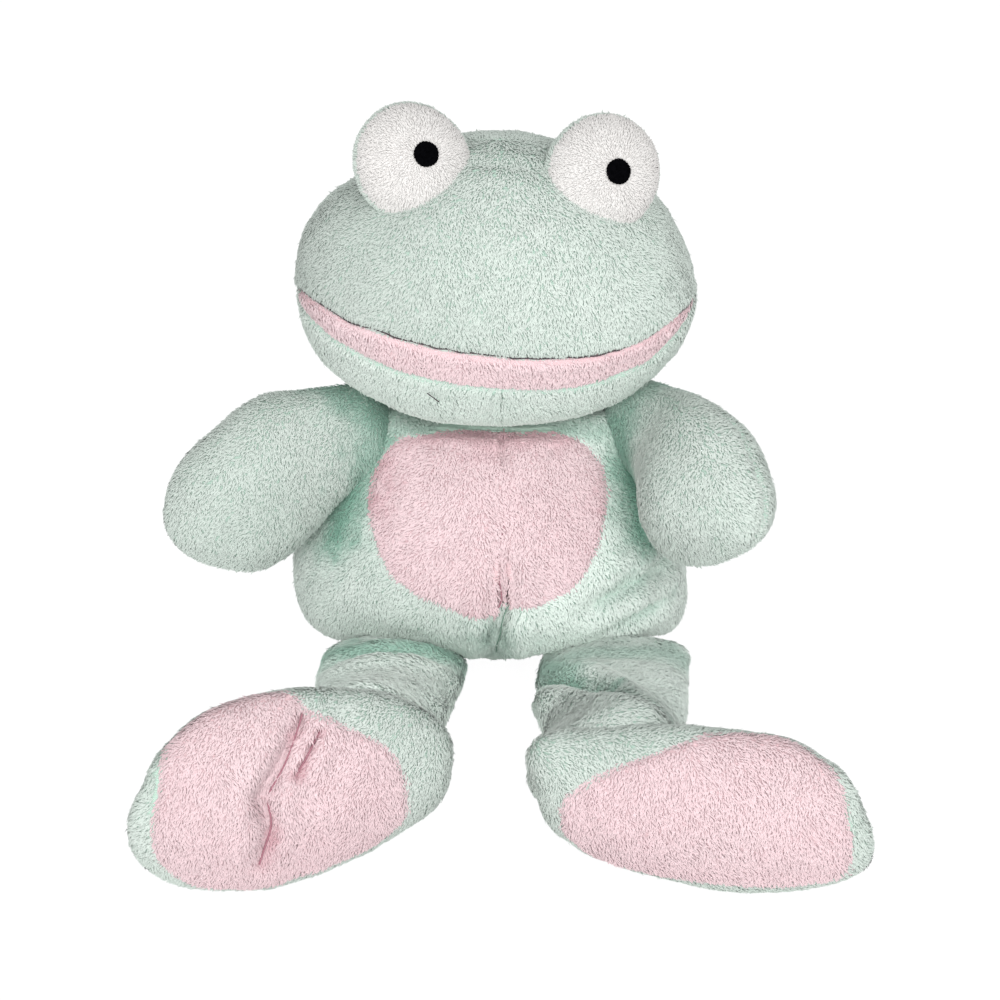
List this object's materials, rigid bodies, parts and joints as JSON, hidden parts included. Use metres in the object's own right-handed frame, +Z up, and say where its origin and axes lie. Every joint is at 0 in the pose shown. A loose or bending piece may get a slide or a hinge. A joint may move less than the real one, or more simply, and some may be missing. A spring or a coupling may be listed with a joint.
{
  "type": "plush frog",
  "caption": "Seated stuffed frog in short mint plush with pink mouth band, belly patch and soles, white eye discs, turning head, swinging arms and legs, and feet that turn at the ankle.",
  "frame": {"origin": "on the floor under the middle of the seat, in the seat's flat face", "axes": "+Z up, the frog looks along -Y, +X to the viewer's right from the front"},
  "size_m": [0.2611, 0.2548, 0.2254],
  "materials": {
    "mint_plush": "matte",
    "pink_plush": "matte",
    "white_plush": "matte",
    "black_thread": "satin",
    "filling": "matte"
  },
  "bodies": {
    "torso": {"torso_back_and_seat": "mint_plush", "torso_front_left": "mint_plush", "torso_front_right": "mint_plush", "belly_patch_left": "pink_plush", "belly_patch_right": "pink_plush", "torso_filling": "filling"},
    "head": {"face_upper": "mint_plush", "head_back": "mint_plush", "mouth_band": "pink_plush", "chin_left": "mint_plush", "chin_right": "mint_plush", "head_filling": "filling", "eye_white_left": "white_plush", "eye_back_left": "mint_plush", "eye_filling_left": "filling", "pupil_left": "black_thread", "eye_white_right": "white_plush", "eye_back_right": "mint_plush", "eye_filling_right": "filling", "pupil_right": "black_thread"},
    "arm_left": {"arm_front_left": "mint_plush", "arm_back_left": "mint_plush", "arm_filling_left": "filling"},
    "leg_left": {"leg_top_left": "mint_plush", "leg_under_left": "mint_plush", "leg_filling_left": "filling"},
    "foot_left": {"foot_upper_left": "mint_plush", "foot_sole_left": "pink_plush", "foot_filling_left": "filling"},
    "arm_right": {"arm_front_right": "mint_plush", "arm_back_right": "mint_plush", "arm_filling_right": "filling"},
    "leg_right": {"leg_top_right": "mint_plush", "leg_under_right": "mint_plush", "leg_filling_right": "filling"},
    "foot_right": {"foot_upper_right": "mint_plush", "foot_sole_right": "pink_plush", "foot_filling_right": "filling"}
  },
  "joints": [
    {"name": "head_turn", "type": "hinge", "parent": "torso", "child": "head", "pos_m": [0, 0.008, 0.098], "axis": [0, 0, 1], "range_deg": [-40, 40]},
    {"name": "arm_left_swing", "type": "hinge", "parent": "torso", "child": "arm_left", "pos_m": [-0.054, 0.001, 0.087], "axis": [0, 0.4695, 0.8829], "range_deg": [-30, 15]},
    {"name": "arm_right_swing", "type": "hinge", "parent": "torso", "child": "arm_right", "pos_m": [0.054, 0.001, 0.087], "axis": [0, -0.4695, -0.8829], "range_deg": [-30, 15]},
    {"name": "leg_left_swing", "type": "hinge", "parent": "torso", "child": "leg_left", "pos_m": [-0.042, -0.048, 0.013], "axis": [1, 0, 0], "range_deg": [-8, 85]},
    {"name": "leg_right_swing", "type": "hinge", "parent": "torso", "child": "leg_right", "pos_m": [0.042, -0.048, 0.013], "axis": [1, 0, 0], "range_deg": [-8, 85]},
    {"name": "foot_left_turn", "type": "hinge", "parent": "leg_left", "child": "foot_left", "pos_m": [-0.048, -0.139, 0.029], "axis": [0, 1, 0], "range_deg": [-20, 85]},
    {"name": "foot_right_turn", "type": "hinge", "parent": "leg_right", "child": "foot_right", "pos_m": [0.043, -0.148, 0.029], "axis": [0, -1, 0], "range_deg": [-20, 85]}
  ]
}
